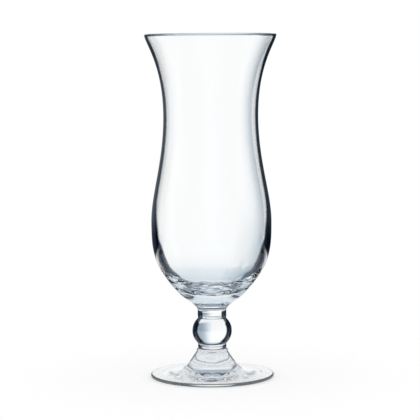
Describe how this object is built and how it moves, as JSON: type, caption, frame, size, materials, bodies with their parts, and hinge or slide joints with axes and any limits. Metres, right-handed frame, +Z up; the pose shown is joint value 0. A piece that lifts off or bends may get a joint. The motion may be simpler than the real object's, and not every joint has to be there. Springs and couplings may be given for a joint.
{
  "type": "hurricane glass",
  "caption": "Tall clear drinking glass with a flared rim, narrow waist and low round belly, on a short ball stem and a round foot.",
  "frame": {"origin": "centre of the foot's flat rest ring, on the surface that the glass stands on", "axes": "+Z up along the glass's axis of revolution, from the foot to the rim"},
  "size_m": [0.0788, 0.0788, 0.2063],
  "materials": {
    "bowl_glass": "clear, fire polished",
    "stem_glass": "clear, pressed and fire polished",
    "foot_glass": "clear, pressed and fire polished"
  },
  "bodies": {
    "root": {"bowl": "bowl_glass", "ball_stem": "stem_glass", "foot": "foot_glass"}
  },
  "joints": []
}
